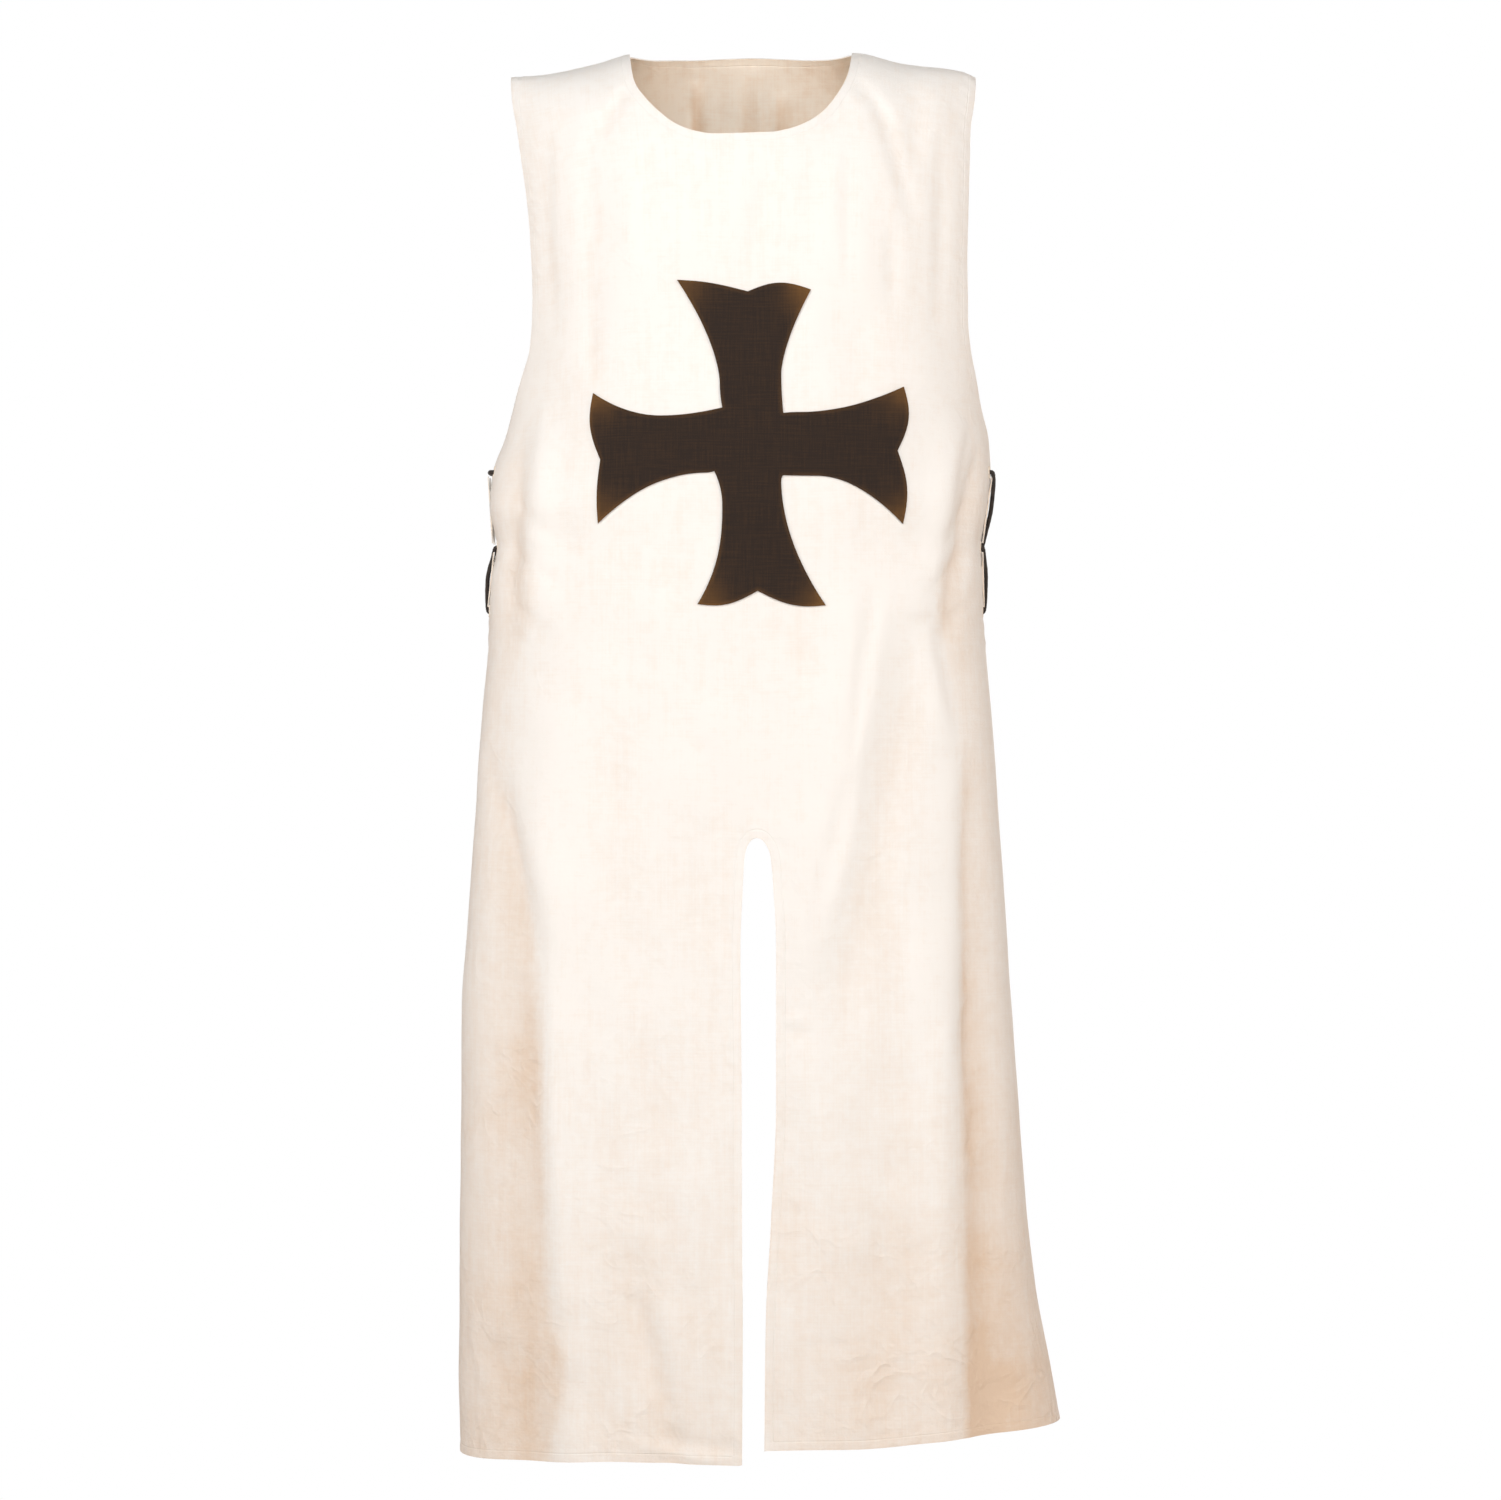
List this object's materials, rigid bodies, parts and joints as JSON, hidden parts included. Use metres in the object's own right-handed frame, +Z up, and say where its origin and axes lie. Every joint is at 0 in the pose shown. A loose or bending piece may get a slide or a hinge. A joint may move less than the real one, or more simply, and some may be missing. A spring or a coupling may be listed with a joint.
{
  "type": "medieval surcoat",
  "caption": "Worn hollow sleeveless knee-length surcoat in off-white canvas with a black cloth cross, side lacing and a slit skirt.",
  "frame": {"origin": "midway between the shoulder seams at the neck, where the wearer's shoulders carry the garment", "axes": "+Z up, +X towards the wearer's left, +Y behind the wearer"},
  "size_m": [0.5562, 0.2851, 1.3],
  "materials": {
    "canvas": "undyed linen and cotton canvas, plain weave with slubs, matt",
    "black_cloth": "brown-black plain woven cloth, matt",
    "black_lace": "braided black cord, slight sheen"
  },
  "bodies": {
    "root": {"front_panel": "canvas", "back_panel": "canvas", "cross": "black_cloth", "lace_left": "black_lace", "lace_right": "black_lace"}
  },
  "joints": []
}
